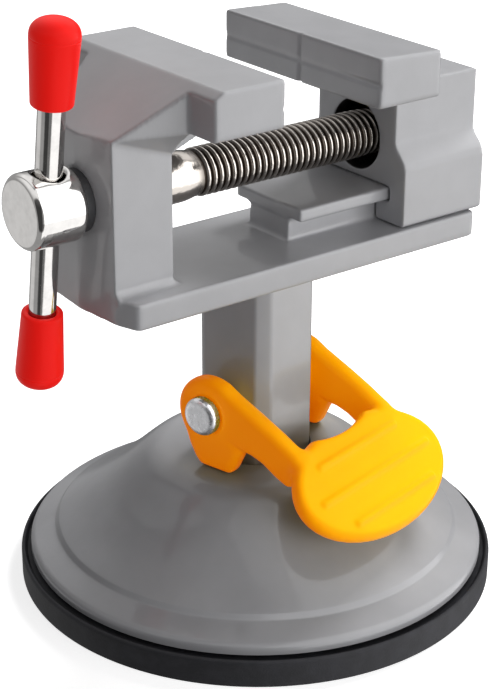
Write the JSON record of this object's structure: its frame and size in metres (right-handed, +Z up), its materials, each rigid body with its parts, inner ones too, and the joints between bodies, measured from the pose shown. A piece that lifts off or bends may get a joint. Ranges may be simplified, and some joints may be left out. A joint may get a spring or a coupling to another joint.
{
  "type": "pcb holder vise",
  "caption": "Small bench vise: sliding jaw driven by a tommy-bar screw, on a swivel post over a lever-operated rubber suction foot.",
  "frame": {"origin": "on the post's axis, at the underside of the suction foot, level with the table", "axes": "+Z up; +X along the clamping screw from the fixed jaw to the moving jaw; +Y across the jaws"},
  "size_m": [0.0894, 0.0824, 0.1042],
  "materials": {
    "dome_paint": "gloss grey enamel on a pressed dome",
    "casting_paint": "gloss grey enamel on zinc castings, softened edges",
    "post_paint": "gloss grey enamel on a square post with bevelled corners",
    "pad_rubber": "near-black matt rubber",
    "lever_plastic": "yellow-orange moulded plastic, satin",
    "cap_plastic": "red dipped plastic",
    "chrome": "bright plated steel",
    "screw_steel": "cut thread with oily roots",
    "pin_steel": "dull zinc-plated steel",
    "hardware_steel": "plain steel fasteners",
    "nylon": "black nylon ring"
  },
  "bodies": {
    "base": {"base_dome": "dome_paint", "suction_pad": "pad_rubber"},
    "post": {"post": "post_paint", "pad_stud": "hardware_steel", "lever_pin": "pin_steel", "pin_clip": "hardware_steel"},
    "lever": {"suction_lever": "lever_plastic"},
    "head": {"vise_body": "casting_paint", "swivel_screw": "hardware_steel", "swivel_washer": "hardware_steel", "friction_ring": "nylon", "thrust_washer": "hardware_steel"},
    "screw": {"lead_screw": "screw_steel", "screw_head": "chrome"},
    "bar": {"tommy_bar": "chrome", "upper_bar_cap": "cap_plastic", "lower_bar_cap": "cap_plastic"},
    "jaw": {"moving_jaw": "casting_paint", "jaw_nut": "hardware_steel"}
  },
  "joints": [
    {"name": "post_lift", "type": "slide", "parent": "base", "child": "post", "axis": [0, 0, 1], "range_m": [-0.003, 0], "deforming": ["suction_pad"]},
    {"name": "lever_swing", "type": "hinge", "parent": "post", "child": "lever", "pos_m": [0, 0, 0.0331], "axis": [-0.9703, -0.2419, 0], "range_deg": [0, 60]},
    {"name": "head_swivel", "type": "hinge", "parent": "post", "child": "head", "pos_m": [0, 0, 0.0564], "axis": [0, 0, 1], "continuous": true},
    {"name": "screw_turn", "type": "hinge", "parent": "head", "child": "screw", "pos_m": [0, 0, 0.0744], "axis": [1, 0, 0], "range_deg": [-2305, 5387]},
    {"name": "jaw_slide", "type": "slide", "parent": "head", "child": "jaw", "axis": [1, 0, 0], "range_m": [-0.0187, 0.008]},
    {"name": "bar_slide", "type": "slide", "parent": "screw", "child": "bar", "axis": [0, -0.1495, 0.9888], "range_m": [-0.0106, 0.012]}
  ],
  "couplings": [
    {"joint": "lever_swing", "follows": "post_lift", "rad_per_m": -349},
    {"joint": "screw_turn", "follows": "jaw_slide", "rad_per_m": -5026.5}
  ]
}
